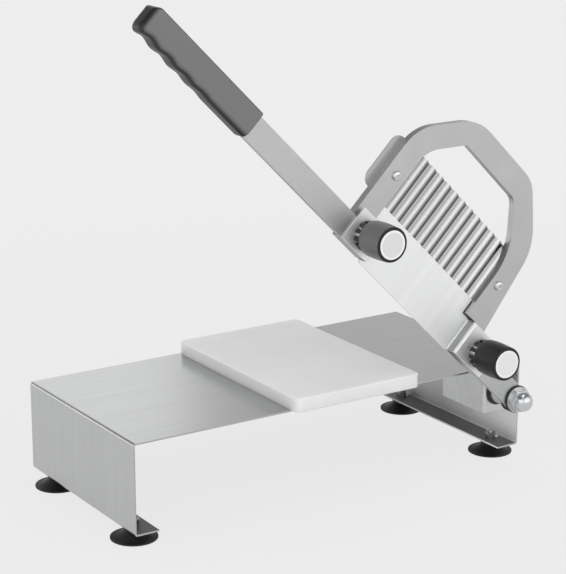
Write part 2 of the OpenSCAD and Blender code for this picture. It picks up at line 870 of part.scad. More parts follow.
module blade_nuts() {
    color(bright)
        on_lever()
            for (p = blade_screw_at)
                outward(p, blade_front - blade_t - blade_nut_h)
                    hex_nut(blade_screw_d * nut_af_share, blade_screw_d + 2 * seat_gap, blade_nut_h);
}

// Threaded inserts through the bars and the bow's feet, which the knobs' studs screw into
module stud_inserts() {
    color(bright)
        on_lever()
            for (p = knob_at)
                outward(p, blade_front)
                    ring(insert_d, stud_d + 2 * run_gap, insert_front - blade_front);
}

// Plate: a folded sheet with two tabs on the bars and a dished middle close to the blade
module thickness_plate() {
    path = [[tab_start, tab_back], [dish_near, tab_back], [dish_near, dish_back],
        [dish_far, dish_back], [dish_far, tab_back], [tab_end, tab_back]];
    flat_near = dish_near + plate_t + bend_r;
    flat_far = dish_far - plate_t - bend_r;
    dish_low = -bar_half - dish_drop;
    color(bright)
        on_lever()
            difference() {
                union() {
                    translate([0, 0, -bar_half])
                        linear_extrude(tab_top + bar_half)
                            polygon(bent_sheet(path, plate_t, bend_r));
                    layer(dish_back, dish_back + plate_t)
                        polygon([[flat_near, dish_low], [flat_far, dish_low], [flat_far, leg_low],
                            [strip_far, leg_low], [strip_far, dish_top], [strip_near, dish_top],
                            [strip_near, leg_low], [flat_near, leg_low]]);
                }
                for (p = knob_at)
                    outward(p, tab_back - over)
                        cylinder(d = stud_d + 4 * seat_gap, h = plate_t + 2 * over);
            }
}

// Knob: a slightly bulged barrel with a round shoulder, a slotted crown round a metal sleeve at its base,
// a recess for its disc and a hole for its stud
module knob(at) {
    widest_r = knob_d / 2;
    face_r = knob_face_d / 2;
    base_z = crown_l + shoulder_r;
    barrel_l = knob_l - knob_edge - base_z;
    shoulder = [for (i = [0 : round_steps]) let (a = 90 * i / round_steps)
        [widest_r - shoulder_r + shoulder_r * sin(a) - knob_edge / 2, base_z - shoulder_r * cos(a)]];
    barrel = [for (i = [1 : barrel_steps]) let (t = i / barrel_steps)
        [face_r + (widest_r - face_r) * (1 - t * t) - knob_edge / 2 * pow(1 - t, 3), base_z + barrel_l * t]];
    rim = [for (i = [1 : round_steps]) let (a = 90 * i / round_steps)
        [face_r - knob_edge + knob_edge * cos(a), knob_l - knob_edge + knob_edge * sin(a)]];
    slot_w = PI * crown_d / slots * slot_w_share;
    color(black)
        on_lever()
            outward(at, knob_back)
                difference() {
                    rotate_extrude()
                        polygon(concat([[0, 0], [crown_d / 2 - knob_edge / 2, 0], [crown_d / 2, knob_edge / 2],
                            [crown_d / 2, crown_l]], shoulder, barrel, rim, [[0, knob_l]]));
                    for (i = [0 : slots - 1])
                        rotate([0, 0, 360 * i / slots])
                            translate([sleeve_d / 2 - over, -slot_w / 2, -over])
                                cube([crown_d / 2 - sleeve_d / 2 + 2 * over, slot_w, crown_l + over]);
                    translate([0, 0, -over])
                        cylinder(d = sleeve_d, h = crown_l + over);
                    translate([0, 0, knob_l - disc_t])
                        cylinder(d = disc_d + 2 * seat_gap, h = disc_t + over);
                    translate([0, 0, -over])
                        cylinder(d = stud_d, h = stud_in + over);
                }
}

// Metal sleeve in a knob's crown, round its stud
module knob_sleeve(at) {
    color(bright)
        on_lever()
            outward(at, knob_back)
                ring(sleeve_d, stud_d, crown_l);
}

// Silver disc in a knob's face, slightly proud of it
module knob_disc(at) {
    color(bright)
        on_lever()
            outward(at, knob_back + knob_l - disc_t)
                cylinder(d = disc_d, h = disc_t + disc_proud);
}

// Stud of a knob, with a groove for its ring and a chamfered tip
module knob_stud(at) {
    r = stud_d / 2;
    ring_at = tab_back - ring_gap - ring_t - stud_tip;
    length = knob_back + stud_in - stud_tip;
    color(bright)
        on_lever()
            outward(at, stud_tip)
                rotate_extrude()
                    polygon([[0, 0], [r - groove_depth, 0], [r, groove_depth], [r, ring_at],
                        [r - groove_depth, ring_at], [r - groove_depth, ring_at + ring_t],
                        [r, ring_at + ring_t], [r, length], [0, length]]);
}

// Split ring in the stud's groove, which keeps the knob on the plate
module retaining_ring(at) {
    bore = stud_d - 2 * groove_depth;
    color(steel)
        on_lever()
            outward(at, tab_back - ring_gap - ring_t)
                difference() {
                    ring(ring_d, bore, ring_t);
                    translate([0, -bore / 3, -over])
                        cube([ring_d, bore * 2 / 3, ring_t + 2 * over]);
                }
}

module upper_knob() {
    knob(knob_at[0]);
}

module upper_knob_sleeve() {
    knob_sleeve(knob_at[0]);
}

module upper_knob_disc() {
    knob_disc(knob_at[0]);
}

module upper_knob_stud() {
    knob_stud(knob_at[0]);
}

module upper_retaining_ring() {
    retaining_ring(knob_at[0]);
}

module lower_knob() {
    knob(knob_at[1]);
}

module lower_knob_sleeve() {
    knob_sleeve(knob_at[1]);
}

module lower_knob_disc() {
    knob_disc(knob_at[1]);
}

module lower_knob_stud() {
    knob_stud(knob_at[1]);
}

module lower_retaining_ring() {
    retaining_ring(knob_at[1]);
}

bench_sheet();
cutting_board();
board_screws();
foot_front_left();
foot_front_right();
foot_rear_left();
foot_rear_right();
foot_studs();
foot_nuts();
flange_rivets();
pivot_bracket();
pivot_bolt();
spacer_washer();
pivot_spacer();
inner_friction_washer();
outer_friction_washer();
steel_washer();
dome_nut();
pivot_bar();
pivot_bush();
handle_bar();
grip();
bow_frame();
wave_blade();
blade_screws();
blade_nuts();
stud_inserts();
thickness_plate();
upper_knob();
upper_knob_sleeve();
upper_knob_disc();
upper_knob_stud();
upper_retaining_ring();
lower_knob();
lower_knob_sleeve();
lower_knob_disc();
lower_knob_stud();
lower_retaining_ring();
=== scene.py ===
# %% [markdown]
# A hand slicer for potatoes. A lever carries a wavy blade in a bow-shaped frame down past a white board, on
# a folded steel bench with four suction feet. The solid pieces were drawn in a CAD program and packed as
# one model. Here they get their edges, their surface finishes, a camera and light. Everything is in metres,
# with X along the bench towards the pivot, Y to the back and Z up from the table.

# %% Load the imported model
import math

import bpy
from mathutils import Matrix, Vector


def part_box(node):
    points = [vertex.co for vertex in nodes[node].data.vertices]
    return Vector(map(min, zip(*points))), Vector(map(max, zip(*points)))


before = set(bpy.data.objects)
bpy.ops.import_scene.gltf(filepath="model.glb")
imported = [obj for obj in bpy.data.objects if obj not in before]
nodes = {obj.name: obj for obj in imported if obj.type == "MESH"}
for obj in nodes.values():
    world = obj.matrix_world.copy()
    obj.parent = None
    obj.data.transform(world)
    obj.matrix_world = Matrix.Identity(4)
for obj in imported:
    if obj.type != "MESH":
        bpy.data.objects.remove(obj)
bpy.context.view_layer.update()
MM = 0.001

# %% [markdown]
# The picture is taken with a long lens from the front left, a little above. A long lens flattens depth, so
# the bench's far edges stay almost parallel to its near ones. The camera's place is written in millimetres
# from the table under the middle of the slicer, and its direction as a turn and a downward tilt.

# %% Camera
CAMERA_AT = Vector((-908.1, -1375.05, 645.3)) * MM
CAMERA_TURN = math.radians(-32.96)
CAMERA_TILT = math.radians(15.89)
LENS = 124.5
SENSOR_WIDTH = 36


def make_camera():
    lens = bpy.data.cameras.new("camera")
    lens.lens = LENS
    lens.sensor_width = SENSOR_WIDTH
    camera = bpy.data.objects.new("camera", lens)
    level = math.cos(CAMERA_TILT)
    back = Vector((math.sin(CAMERA_TURN) * level, -math.cos(CAMERA_TURN) * level, math.sin(CAMERA_TILT)))
    camera.location = CAMERA_AT
    camera.rotation_euler = (-back).to_track_quat("-Z", "Y").to_euler()
    bpy.context.scene.collection.objects.link(camera)
    bpy.context.scene.camera = camera
    return camera


camera = make_camera()
print("camera", [round(c, 3) for c in camera.location], "lens", LENS, "mm")

# %% [markdown]
# A studio photograph on white has two jobs for its background. What the camera sees should be one even pale
# grey, and polished steel should show that grey too. But the same table must also catch the light and a
# soft shadow. Blender's light path node tells these rays apart, so one shader gives the even grey to the
# camera and to reflections, and a plain matt table to all other light.

# %% Which rays see the even backdrop
BACKDROP = (0.85, 0.85, 0.85)
SEEN = ("Is Camera Ray", "Is Glossy Ray", "Is Transmission Ray")
EVEN = ("Is Camera Ray", "Is Transmission Ray")


def seen_rays(made, links, kinds):
    rays = made.new("ShaderNodeLightPath")
    found = rays.outputs[kinds[0]]
    for kind in kinds[1:]:
        either = made.new("ShaderNodeMath")
        either.operation = "MAXIMUM"
        links.new(found, either.inputs[0])
        links.new(rays.outputs[kind], either.inputs[1])
        found = either.outputs[0]
    return found


print("backdrop for", len(SEEN), "kinds of ray")

# %% [markdown]
# A studio has pale walls and a dim ceiling, and bare steel needs both. Faces that lean back mirror the dim
# ceiling and come out dark, beside faces that mirror the pale walls, and that contrast is what makes a
# surface read as metal. So the backdrop that reflections see is pale up to a low height and dims above it.

# %% World: a white sky for soft light, the backdrop for the eye
SKY_STRENGTH = 0.52
CEILING_SHARE = 0.25
CEILING_FROM = 0.27
CEILING_FULL = 0.52


def ceiling_dimming(made, links):
    way = made.new("ShaderNodeTexCoord")
    parts = made.new("ShaderNodeSeparateXYZ")
    links.new(way.outputs["Generated"], parts.inputs[0])
    dim = made.new("ShaderNodeMapRange")
    dim.inputs["From Min"].default_value = CEILING_FROM
    dim.inputs["From Max"].default_value = CEILING_FULL
    dim.inputs["To Min"].default_value = 1
    dim.inputs["To Max"].default_value = CEILING_SHARE
    links.new(parts.outputs["Z"], dim.inputs["Value"])
    whole = made.new("ShaderNodeMath")
    whole.operation = "MAXIMUM"
    links.new(dim.outputs["Result"], whole.inputs[0])
    links.new(seen_rays(made, links, EVEN), whole.inputs[1])
    return whole.outputs[0]


def make_world():
    world = bpy.data.worlds.new("studio")
    world.use_nodes = True
    bpy.context.scene.world = world
    made = world.node_tree.nodes
    links = world.node_tree.links
    sky = made["Background"]
    sky.inputs["Color"].default_value = (1, 1, 1, 1)
    sky.inputs["Strength"].default_value = SKY_STRENGTH
    seen = made.new("ShaderNodeBackground")
    seen.inputs["Color"].default_value = (*BACKDROP, 1)
    links.new(ceiling_dimming(made, links), seen.inputs["Strength"])
    mix = made.new("ShaderNodeMixShader")
    links.new(seen_rays(made, links, SEEN), mix.inputs["Fac"])
    links.new(sky.outputs[0], mix.inputs[1])
    links.new(seen.outputs[0], mix.inputs[2])
    links.new(mix.outputs[0], made["World Output"].inputs["Surface"])
    return world


print("sky strength", make_world().node_tree.nodes["Background"].inputs["Strength"].default_value)

# %% [markdown]
# The table top is one flat square, wide enough that its edge is never seen. To the camera it is mostly the
# even grey, with a small share of the real shaded table left in, and that share holds the soft shadow under
# the bench and the cups. Reflections get a larger share of the real table, so the steel under the bench
# mirrors the shade there and turns dark towards the back, as the inside of a real leg does. Away from the
# object the share of the real table fades out, so that the table and the world meet in one grey.

# %% Table top
FLOOR_HALF = 30.0
SHADOW_SHARE = 0.1
MIRRORED_SHADOW_SHARE = 0.4
SHADOW_NEAR = 0.4
SHADOW_FAR = 1.2


def ray_share(made, links, kinds, real):
    place = made.new("ShaderNodeTexCoord")
    away = made.new("ShaderNodeVectorMath")
    away.operation = "LENGTH"
    links.new(place.outputs["Object"], away.inputs[0])
    even = made.new("ShaderNodeMapRange")
    even.inputs["From Min"].default_value = SHADOW_NEAR
    even.inputs["From Max"].default_value = SHADOW_FAR
    even.inputs["To Min"].default_value = 1 - real
    even.inputs["To Max"].default_value = 1
    links.new(away.outputs["Value"], even.inputs["Value"])
    part = made.new("ShaderNodeMath")
    part.operation = "MULTIPLY"
    links.new(even.outputs["Result"], part.inputs[0])
    links.new(seen_rays(made, links, kinds), part.inputs[1])
    return part.outputs[0]


def even_share(made, links):
    both = made.new("ShaderNodeMath")
    both.operation = "ADD"
    links.new(ray_share(made, links, EVEN, SHADOW_SHARE), both.inputs[0])
    links.new(ray_share(made, links, ("Is Glossy Ray",), MIRRORED_SHADOW_SHARE), both.inputs[1])
    return both.outputs[0]


def make_floor():
    mesh = bpy.data.meshes.new("floor")
    corners = [(x * FLOOR_HALF, y * FLOOR_HALF, 0) for x, y in ((-1, -1), (1, -1), (1, 1), (-1, 1))]
    mesh.from_pydata(corners, [], [(0, 1, 2, 3)])
    floor = bpy.data.objects.new("floor", mesh)
    bpy.context.scene.collection.objects.link(floor)
    finish = bpy.data.materials.new("table_top")
    finish.use_nodes = True
    made = finish.node_tree.nodes
    links = finish.node_tree.links
    shader = made["Principled BSDF"]
    shader.inputs["Base Color"].default_value = (*BACKDROP, 1)
    shader.inputs["Roughness"].default_value = 1
    shader.inputs["Specular IOR Level"].default_value = 0
    even = made.new("ShaderNodeEmission")
    even.inputs["Color"].default_value = (*BACKDROP, 1)
    mix = made.new("ShaderNodeMixShader")
    links.new(even_share(made, links), mix.inputs["Fac"])
    links.new(shader.outputs[0], mix.inputs[1])
    links.new(even.outputs[0], mix.inputs[2])
    links.new(mix.outputs[0], made["Material Output"].inputs["Surface"])
    mesh.materials.append(finish)


make_floor()
print("table", 2 * FLOOR_HALF, "m wide")

# %% [markdown]
# Plain studio light from large soft boxes, because a small lamp would burn white patches into the steel.
# The key lamp hangs over the camera's left shoulder. A broad lamp near the camera's right fills the faces
# of the lever, which all look to the front. A low lamp behind the bench is seen, blurred, in the brushed
# top, which is why the top is bright at its left end and falls off towards the board. It stays low so that
# the faces that lean back miss it and keep their dark tone. A smaller lamp at the back left is seen only in
# the bends of the sheet, as a thin bright line along each fold. A weak lamp overhead lifts the tops of the
# round parts.

# %% Lights
LAMPS_AIM_AT = Vector((0, 0, 0.15))


def soft_lamp(name, place, size, power):
    lamp = bpy.data.lights.new(name, "AREA")
    lamp.shape = "RECTANGLE"
    lamp.size = size[0]
    lamp.size_y = size[1]
    lamp.energy = power
    holder = bpy.data.objects.new(name, lamp)
    holder.location = place
    holder.rotation_euler = (LAMPS_AIM_AT - Vector(place)).to_track_quat("-Z", "Y").to_euler()
    bpy.context.scene.collection.objects.link(holder)
    return holder


lamps = [
    soft_lamp("key_lamp", (-2.1, -1.4, 1.5), (3.2, 2.4), 26),
    soft_lamp("front_lamp", (0.9, -2.2, 1.2), (3.0, 1.8), 19),
    soft_lamp("back_lamp", (0.18, 1.3, 0.68), (0.9, 0.5), 0.9),
    soft_lamp("edge_lamp", (-1.1, 1.6, 0.3), (0.7, 0.3), 0.9),
    soft_lamp("top_lamp", (0.2, -0.2, 2.4), (1.6, 0.8), 8),
]
print(len(lamps), "soft lamps")

# %% [markdown]
# A finish is a material with a few nodes. Every finish starts from the same shader with a base colour, a
# roughness and either a metal or a plastic surface. The pattern of grain, specks or streaks is then added
# with noise. The noise is read in the piece's own coordinates, in metres, so it stays on the piece when the
# lever swings, and squeezing these coordinates in one direction turns round specks into brushed lines.

# %% Helpers for finishes


def new_finish(name, colour, roughness, metallic=0.0):
    finish = bpy.data.materials.new(name)
    finish.use_nodes = True
    shader = finish.node_tree.nodes["Principled BSDF"]
    shader.inputs["Base Color"].default_value = (*colour, 1)
    shader.inputs["Roughness"].default_value = roughness
    shader.inputs["Metallic"].default_value = metallic
    return finish


def add_noise(finish, scale, stretch=(1, 1, 1), turn=(0, 0, 0), detail=3.0):
    made = finish.node_tree.nodes
    links = finish.node_tree.links
    place = made.new("ShaderNodeTexCoord")
    turned = made.new("ShaderNodeMapping")
    turned.inputs["Rotation"].default_value = turn
    stretched = made.new("ShaderNodeMapping")
    stretched.inputs["Scale"].default_value = stretch
    noise = made.new("ShaderNodeTexNoise")
    noise.inputs["Scale"].default_value = scale
    noise.inputs["Detail"].default_value = detail
    links.new(place.outputs["Object"], turned.inputs["Vector"])
    links.new(turned.outputs["Vector"], stretched.inputs["Vector"])
    links.new(stretched.outputs["Vector"], noise.inputs["Vector"])
    return noise.outputs["Fac"]


def blend_range(finish, source, low, high, start=0.3, end=0.7):
    made = finish.node_tree.nodes
    spread = made.new("ShaderNodeMapRange")
    spread.inputs["From Min"].default_value = start
    spread.inputs["From Max"].default_value = end
    spread.inputs["To Min"].default_value = low
    spread.inputs["To Max"].default_value = high
    finish.node_tree.links.new(source, spread.inputs["Value"])
    return spread.outputs["Result"]


print("noise helpers ready")

# %% [markdown]
# A pattern is only a number between 0 and 1 at each point. It can blend two colours, it can make the
# surface shinier or duller, and it can stand for height, which tilts the light as real bumps do. The three
# helpers below each do one of these, so a finish is a short list of patterns and of what each one steers.

# %% Helpers that send a pattern to colour, shine and relief
RELIEF_STRENGTH = 0.3


def vary_colour(finish, source, dark, light, start=0.3, end=0.7):
    made = finish.node_tree.nodes
    links = finish.node_tree.links
    mix = made.new("ShaderNodeMix")
    mix.data_type = "RGBA"
    mix.inputs[6].default_value = (*dark, 1)
    mix.inputs[7].default_value = (*light, 1)
    links.new(blend_range(finish, source, 0, 1, start, end), mix.inputs["Factor"])
    links.new(mix.outputs[2], made["Principled BSDF"].inputs["Base Color"])


def vary_roughness(finish, source, low, high):
    links = finish.node_tree.links
    shader = finish.node_tree.nodes["Principled BSDF"]
    links.new(blend_range(finish, source, low, high), shader.inputs["Roughness"])


def add_relief(finish, source, height_mm, strength=RELIEF_STRENGTH):
    made = finish.node_tree.nodes
    links = finish.node_tree.links
    relief = made.new("ShaderNodeBump")
    relief.inputs["Strength"].default_value = strength
    relief.inputs["Distance"].default_value = height_mm * MM
    links.new(source, relief.inputs["Height"])
    earlier = made["Principled BSDF"].inputs["Normal"]
    if earlier.is_linked:
        links.new(earlier.links[0].from_socket, relief.inputs["Normal"])
    links.new(relief.outputs["Normal"], earlier)


def give_finish(name, finish):
    mesh = nodes[name].data
    mesh.materials.clear()
    mesh.materials.append(finish)


print("pattern helpers ready")

# %% [markdown]
# Brushed stainless steel has fine lines all in one direction, left by an abrasive belt that ran along the
# sheet before it was folded. The lines are finer than a hair, so from a step away the top looks smooth, and
# only a few longer streaks show. So the finest noise changes only the roughness, and a wider, long streak
# changes the colour a little. On the legs the same lines run downwards, because they follow the folded
# sheet, and their colour is a little lighter than the top's, which is painted light. Only the outside of the
# sheet is brushed. The inside keeps the dull grey of the rolling mill, with painted light at the open front
# and painted shade deep under the bench.

# %% Brushed sheet steel
GRAIN_FINE = 1400
GRAIN_WIDE = 160
LONG_STREAK = 0.006
BRUSHED_RELIEF_MM = 0.001
NO_TURN = (0, 0, 0)


def brushed_sheet(name, along, turn, dark, light, rough):
    finish = new_finish(name, light, rough[0], metallic=1.0)
    stretch = [LONG_STREAK if axis == along else 1 for axis in "XYZ"]
    fine = add_noise(finish, GRAIN_FINE, stretch, turn)
    wide = add_noise(finish, GRAIN_WIDE, stretch, turn, 2.0)
    vary_colour(finish, wide, dark, light)
    vary_roughness(finish, fine, *rough)
    add_relief(finish, fine, BRUSHED_RELIEF_MM)
    return finish


bench_finish = brushed_sheet(
    "brushed_sheet_along_bench", "X", NO_TURN, (0.5, 0.504, 0.51), (0.52, 0.524, 0.53), (0.25, 0.27))
# The legs' colour is a little lighter than the top's: painted light on the same sheet.
leg_finish = brushed_sheet(
    "brushed_sheet_down_leg", "Z", NO_TURN, (0.54, 0.545, 0.55), (0.57, 0.575, 0.58), (0.28, 0.31))
print("brushed lines", round(1000 / GRAIN_FINE, 2), "mm apart")

# %% [markdown]
# Steel straight from the rolling mill is duller than brushed steel, and its dullness changes with a fine
# grain. The flanges and the underside are coloured dark, as painted shade under the bench, with a slightly
# cloudy tone. On the inside of the legs the colour goes from painted light at the front to painted shade at
# the back, by the depth behind the front edge.

# %% Steel as the rolling mill left it, with painted shade under the bench
MILL_CLOUD = 60
MILL_GRAIN = 900
SHEET_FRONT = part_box("bench_sheet")[0][1]
# Painted light at the open front of the inside of the legs, turning to painted shade towards the back.
PAINTED_LIGHT_TO = SHEET_FRONT + 20 * MM
PAINTED_SHADE_FROM = SHEET_FRONT + 110 * MM
PAINTED_LIGHT_STEEL = (0.95, 0.955, 0.96)
PAINTED_SHADE_STEEL = (0.58, 0.584, 0.59)


def dull_steel(name, colour, rough):
    finish = new_finish(name, colour, rough[0], metallic=1.0)
    grain = add_noise(finish, MILL_GRAIN, detail=2.0)
    vary_roughness(finish, grain, *rough)
    return finish


def mill_steel(name, dark, light, rough):
    finish = dull_steel(name, light, rough)
    cloud = add_noise(finish, MILL_CLOUD, detail=2.0)
    vary_colour(finish, cloud, dark, light)
    return finish


def place_along_y(finish):
    made = finish.node_tree.nodes
    place = made.new("ShaderNodeTexCoord")
    parts = made.new("ShaderNodeSeparateXYZ")
    finish.node_tree.links.new(place.outputs["Object"], parts.inputs[0])
    return parts.outputs["Y"]


# The dark colour of the flanges and the underside is painted shade.
flange_finish = mill_steel("mill_flange_painted_shade", (0.24, 0.243, 0.247), (0.28, 0.283, 0.287), (0.46, 0.54))
inside_finish = dull_steel("mill_inside_painted_shade", PAINTED_LIGHT_STEEL, (0.6, 0.68))
depth = place_along_y(inside_finish)
vary_colour(inside_finish, depth, PAINTED_LIGHT_STEEL, PAINTED_SHADE_STEEL, PAINTED_LIGHT_TO, PAINTED_SHADE_FROM)
print("inside of the legs painted light for", round((PAINTED_LIGHT_TO - SHEET_FRONT) / MM), "mm behind the front edge")

# %% [markdown]
# The bench is one folded mesh, so it can't take one finish as a whole. Two questions sort its faces: does
# the face look towards the middle of the bench, and does it stand upright? They give four answers, and each
# has its own slot: the top, the outside of the legs, the flanges with the underside, and the inside of the
# legs.

# %% Finish the bench: lines along its top, down its legs, and none on the inside


def finish_bench():
    mesh = nodes["bench_sheet"].data
    mesh.materials.clear()
    for finish in (bench_finish, leg_finish, flange_finish, inside_finish):
        mesh.materials.append(finish)
    low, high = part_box("bench_sheet")
    middle = (Vector(low) + Vector(high)) / 2
    inside = 0
    for face in mesh.polygons:
        faces_in = face.normal.dot(middle - face.center) > 0
        on_leg = abs(face.normal.x) > abs(face.normal.z)
        face.material_index = 2 * faces_in + on_leg
        inside += faces_in
    return inside


print(finish_bench(), "faces of the bench are on its inside")

# %% [markdown]
# The lever's bars and the bow are thicker steel with a dull, blasted surface: fine round grain in place of
# lines. Blasting scatters light evenly, so the faces are one quiet light grey and the edges are brighter.

# %% Blasted steel of the lever
LEVER_TURN = (0, math.radians(45), 0)
ALONG_LEVER = Vector((-math.sqrt(0.5), 0, math.sqrt(0.5)))
BLAST_GRAIN = 1600
BLAST_CLOUD = 30
BLAST_RELIEF_MM = 0.008


def blasted_steel(name, dark, light, rough):
    finish = new_finish(name, light, rough[0], metallic=1.0)
    grain = add_noise(finish, BLAST_GRAIN, detail=4.0)
    cloud = add_noise(finish, BLAST_CLOUD, detail=2.0)
    vary_colour(finish, cloud, dark, light)
    vary_roughness(finish, grain, *rough)
    add_relief(finish, grain, BLAST_RELIEF_MM)
    return finish


lever_finish = blasted_steel("blasted_bar_steel", (0.5, 0.503, 0.507), (0.54, 0.543, 0.547), (0.36, 0.44))
for name in ("pivot_bar", "handle_bar", "bow_frame"):
    give_finish(name, lever_finish)
print("bars and bow finished")

# %% [markdown]
# The slice plate is brushed like the bench, with its lines along the lever. It has two short steps, where
# its middle drops back towards the blade. The steps get a darker, cloudy mill grey, which is a painted dark
# reflection. They are found by their direction, which is straight along the lever, and by their size, because
# the plate's thin ends face the same way. The bracket under the bench is brushed too.

# %% Brushed plate with steps painted dark, and the bracket
plate_finish = brushed_sheet(
    "brushed_slice_plate", "X", LEVER_TURN, (0.84, 0.845, 0.85), (0.87, 0.875, 0.88), (0.5, 0.58))
# The steps' darker colour is a painted dark reflection.
step_finish = mill_steel("step_painted_dark_reflection", (0.36, 0.363, 0.367), (0.42, 0.423, 0.427), (0.4, 0.48))
STEP_AREA = 60 * MM * MM
STRAIGHT_ALONG = 0.99


def finish_plate():
    mesh = nodes["thickness_plate"].data
    mesh.materials.clear()
    mesh.materials.append(plate_finish)
    mesh.materials.append(step_finish)
    steps = 0
    for face in mesh.polygons:
        on_step = abs(face.normal.dot(ALONG_LEVER)) > STRAIGHT_ALONG and face.area > STEP_AREA
        face.material_index = int(on_step)
        steps += on_step
    return steps


print(finish_plate(), "faces of the plate belong to its steps")
give_finish("pivot_bracket", brushed_sheet(
    "brushed_bracket", "X", NO_TURN, (0.6, 0.605, 0.61), (0.65, 0.655, 0.66), (0.34, 0.42)))
print("plate and bracket finished")

# %% [markdown]
# The blade is rolled into waves and polished. Each wave's light is painted into its colour: a painted
# highlight on the crest, a paler painted reflection on the flank towards the grip, and painted shade in the
# furrow and on the other flank. A colour ramp that repeats with the pitch of the waves lays these bands. It
# counts the waves along the lever, from the last one towards the pivot, in the blade's own coordinates, and
# past the first and the last wave the blade is plain sheet.

# %% Painted light on the waves of the blade
PIVOT_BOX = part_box("pivot_bolt")
PIVOT = (Vector(PIVOT_BOX[0]) + Vector(PIVOT_BOX[1])) / 2
WAVE_PITCH = 11.5 * MM
WAVE_END = 237.8 * MM
WAVES = 12
PLAIN_TONE = 0.5
BLADE_ROUGH = (0.24, 0.28)
# Painted highlight on the crest, painted reflection on one flank, painted shade in the furrow.
WAVE_PAINTED_LIGHT = (
    (0.0, 0.72), (0.1, 0.42), (0.2, 0.8), (0.3, 0.5), (0.42, 0.32), (0.55, 0.2), (0.75, 0.2), (0.88, 0.4))


def count_waves(finish):
    made = finish.node_tree.nodes
    links = finish.node_tree.links
    place = made.new("ShaderNodeTexCoord")
    along = made.new("ShaderNodeVectorMath")
    along.operation = "DOT_PRODUCT"
    along.inputs[1].default_value = ALONG_LEVER / WAVE_PITCH
    links.new(place.outputs["Object"], along.inputs[0])
    shift = made.new("ShaderNodeMath")
    shift.operation = "SUBTRACT"
    shift.inputs[1].default_value = (PIVOT.dot(ALONG_LEVER) + WAVE_END) / WAVE_PITCH
    links.new(along.outputs["Value"], shift.inputs[0])
    return shift.outputs[0]


def paint_wave_light(finish, count):
    made = finish.node_tree.nodes
    links = finish.node_tree.links
    part = made.new("ShaderNodeMath")
    part.operation = "FRACT"
    links.new(count, part.inputs[0])
    ramp = made.new("ShaderNodeValToRGB")
    stops = ramp.color_ramp.elements
    while len(stops) < len(WAVE_PAINTED_LIGHT):
        stops.new(0.5)
    for stop, (at, tone) in zip(stops, WAVE_PAINTED_LIGHT):
        stop.position = at
        stop.color = (tone, tone, tone, 1)
    links.new(part.outputs[0], ramp.inputs["Fac"])
    return ramp.outputs["Color"]


def rolled_blade():
    finish = new_finish("rolled_blade_steel", (PLAIN_TONE, PLAIN_TONE, PLAIN_TONE), 0.26, metallic=1.0)
    made = finish.node_tree.nodes
    links = finish.node_tree.links
    count = count_waves(finish)
    waved = made.new("ShaderNodeMath")
    waved.operation = "COMPARE"
    waved.inputs[1].default_value = -WAVES / 2
    waved.inputs[2].default_value = WAVES / 2
    links.new(count, waved.inputs[0])
    choice = made.new("ShaderNodeMix")
    choice.data_type = "RGBA"
    choice.inputs[6].default_value = (PLAIN_TONE, PLAIN_TONE, PLAIN_TONE, 1)
    lines = add_noise(finish, GRAIN_WIDE, (1, 1, LONG_STREAK), LEVER_TURN, 2.0)
    vary_roughness(finish, lines, *BLADE_ROUGH)
    links.new(waved.outputs[0], choice.inputs["Factor"])
    links.new(paint_wave_light(finish, count), choice.inputs[7])
    links.new(choice.outputs[2], made["Principled BSDF"].inputs["Base Color"])
    return finish


give_finish("wave_blade", rolled_blade())
print("waves every", WAVE_PITCH / MM, "mm")

# %% [markdown]
# Screws, nuts, studs and washers are bought parts with a smooth, bright surface. They are small and mostly
# round, so their shape does the work and the finish only needs a faint cloud in its tone and shine. The
# nuts on the feet are zinc-plated, which is darker. The bush in the pivot is bronze, which is softer than
# the bolt, so that the cheap bush wears and not the bolt.

# %% Bright fasteners
FASTENER_CLOUD = 90
SHINE_SPREAD = 0.1


def bright_steel(name, dark, light, rough):
    finish = new_finish(name, light, rough, metallic=1.0)
    cloud = add_noise(finish, FASTENER_CLOUD, detail=1.0)
    vary_colour(finish, cloud, dark, light)
    vary_roughness(finish, cloud, rough * (1 - SHINE_SPREAD), rough * (1 + SHINE_SPREAD))
    return finish


bright_finish = bright_steel("bright_fastener_steel", (0.6, 0.61, 0.62), (0.64, 0.65, 0.66), 0.3)
BRIGHT = ("board_screws", "foot_studs", "flange_rivets", "pivot_bolt", "steel_washer", "dome_nut",
          "blade_screws", "blade_nuts", "stud_inserts", "upper_knob_stud", "lower_knob_stud",
          "upper_knob_sleeve", "lower_knob_sleeve", "upper_retaining_ring", "lower_retaining_ring",
          "pivot_spacer")
for name in BRIGHT:
    give_finish(name, bright_finish)
give_finish("pivot_bush", bright_steel("plain_bronze", (0.55, 0.38, 0.2), (0.62, 0.44, 0.24), 0.3))
give_finish("foot_nuts", bright_steel("zinc_plated_nut", (0.3, 0.302, 0.306), (0.36, 0.362, 0.366), 0.24))
print(len(BRIGHT), "bright pieces finished")

# %% [markdown]
# Moulded plastic and rubber share one recipe: a fine grain in the relief from the mould's etched wall, a
# cloudy change of colour too weak to notice alone, and a shine that changes with the grain.

# %% Recipe for plastics and rubber
MOULD_GRAIN = 900
MOULD_GRAIN_MM = 0.01
MOULD_CLOUD = 25


def moulded_surface(name, colour, rough):
    finish = new_finish(name, colour, rough[0])
    grain = add_noise(finish, MOULD_GRAIN)
    vary_roughness(finish, grain, *rough)
    add_relief(finish, grain, MOULD_GRAIN_MM)
    return finish


def moulded_plastic(name, dark, light, rough):
    finish = moulded_surface(name, light, rough)
    cloud = add_noise(finish, MOULD_CLOUD, detail=2.0)
    vary_colour(finish, cloud, dark, light)
    return finish


print("plastic recipe ready")

# %% [markdown]
# The board is soft white polyethylene, which light enters and leaves again a few millimetres away. That
# evens out the difference between its top and its sides, so its edges look soft and not like cut stone.

# %% White board
GLOW_SHARE = 0.7
GLOW_DEPTH = 12 * MM


